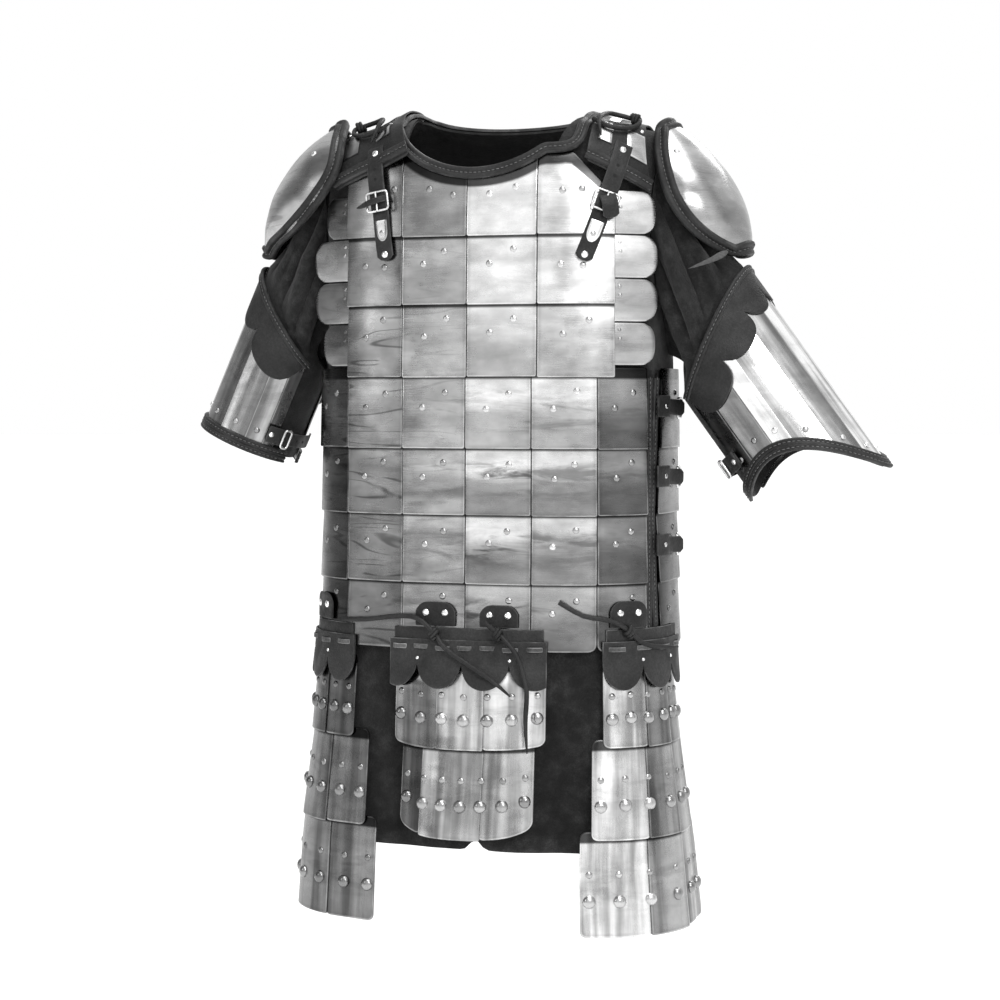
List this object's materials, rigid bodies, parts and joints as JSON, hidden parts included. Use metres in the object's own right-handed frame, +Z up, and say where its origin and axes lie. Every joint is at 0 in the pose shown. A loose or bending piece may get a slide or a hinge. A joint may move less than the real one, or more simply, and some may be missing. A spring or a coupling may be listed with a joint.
{
  "type": "scale armour on a cloth tunic",
  "caption": "Worn-form cloth tunic covered with riveted steel plates, with shoulder caps, splinted arm guards and hanging hip plates on leather.",
  "frame": {"origin": "on top of the shoulders, midway between them, where the wearer's shoulders hold the armour up", "axes": "+Z up, -Y out of the chest, +X towards the wearer's left"},
  "size_m": [0.8254, 0.3084, 0.9166],
  "materials": {
    "wool": "black felted wool cloth",
    "leather": "black leather, waxed, with stitched edges",
    "steel": "polished steel plate, slightly uneven"
  },
  "bodies": {
    "root": {"back_plates": "steel", "backing_back": "leather", "backing_front": "leather", "chest_side_plates_left": "steel", "chest_side_plates_right": "steel", "front_row_1": "steel", "front_row_2": "steel", "front_row_3": "steel", "front_row_4": "steel", "front_row_5": "steel", "front_row_6": "steel", "front_row_7": "steel", "guard_hem_left": "leather", "guard_hem_right": "leather", "guard_scallops_left": "leather", "guard_scallops_right": "leather", "guard_splints_left": "steel", "guard_splints_right": "steel", "guard_strap_left": "leather", "guard_strap_right": "leather", "neck_binding": "leather", "shoulder_buckle_left": "steel", "shoulder_buckle_right": "steel", "shoulder_chape_left": "leather", "shoulder_chape_right": "leather", "shoulder_strap_left": "leather", "shoulder_strap_right": "leather", "shoulder_tie_left": "leather", "shoulder_tie_right": "leather", "side_strap_1": "leather", "side_strap_2": "leather", "side_strap_3": "leather", "sleeve_left": "wool", "sleeve_right": "wool", "spaulder_binding_left": "leather", "spaulder_binding_right": "leather", "spaulder_left": "steel", "spaulder_right": "steel", "tab_centre_left": "leather", "tab_centre_right": "leather", "tab_left": "leather", "tab_right": "leather", "tasset_centre_leather": "leather", "tasset_centre_row_1": "steel", "tasset_centre_row_2": "steel", "tasset_left_leather": "leather", "tasset_left_row_1": "steel", "tasset_left_row_2": "steel", "tasset_left_row_3": "steel", "tasset_right_leather": "leather", "tasset_right_row_1": "steel", "tasset_right_row_2": "steel", "tasset_right_row_3": "steel", "thong_left": "leather", "thong_middle": "leather", "thong_right": "leather", "tunic_back": "wool", "tunic_front": "wool", "yoke_left": "leather", "yoke_right": "leather"}
  },
  "joints": []
}
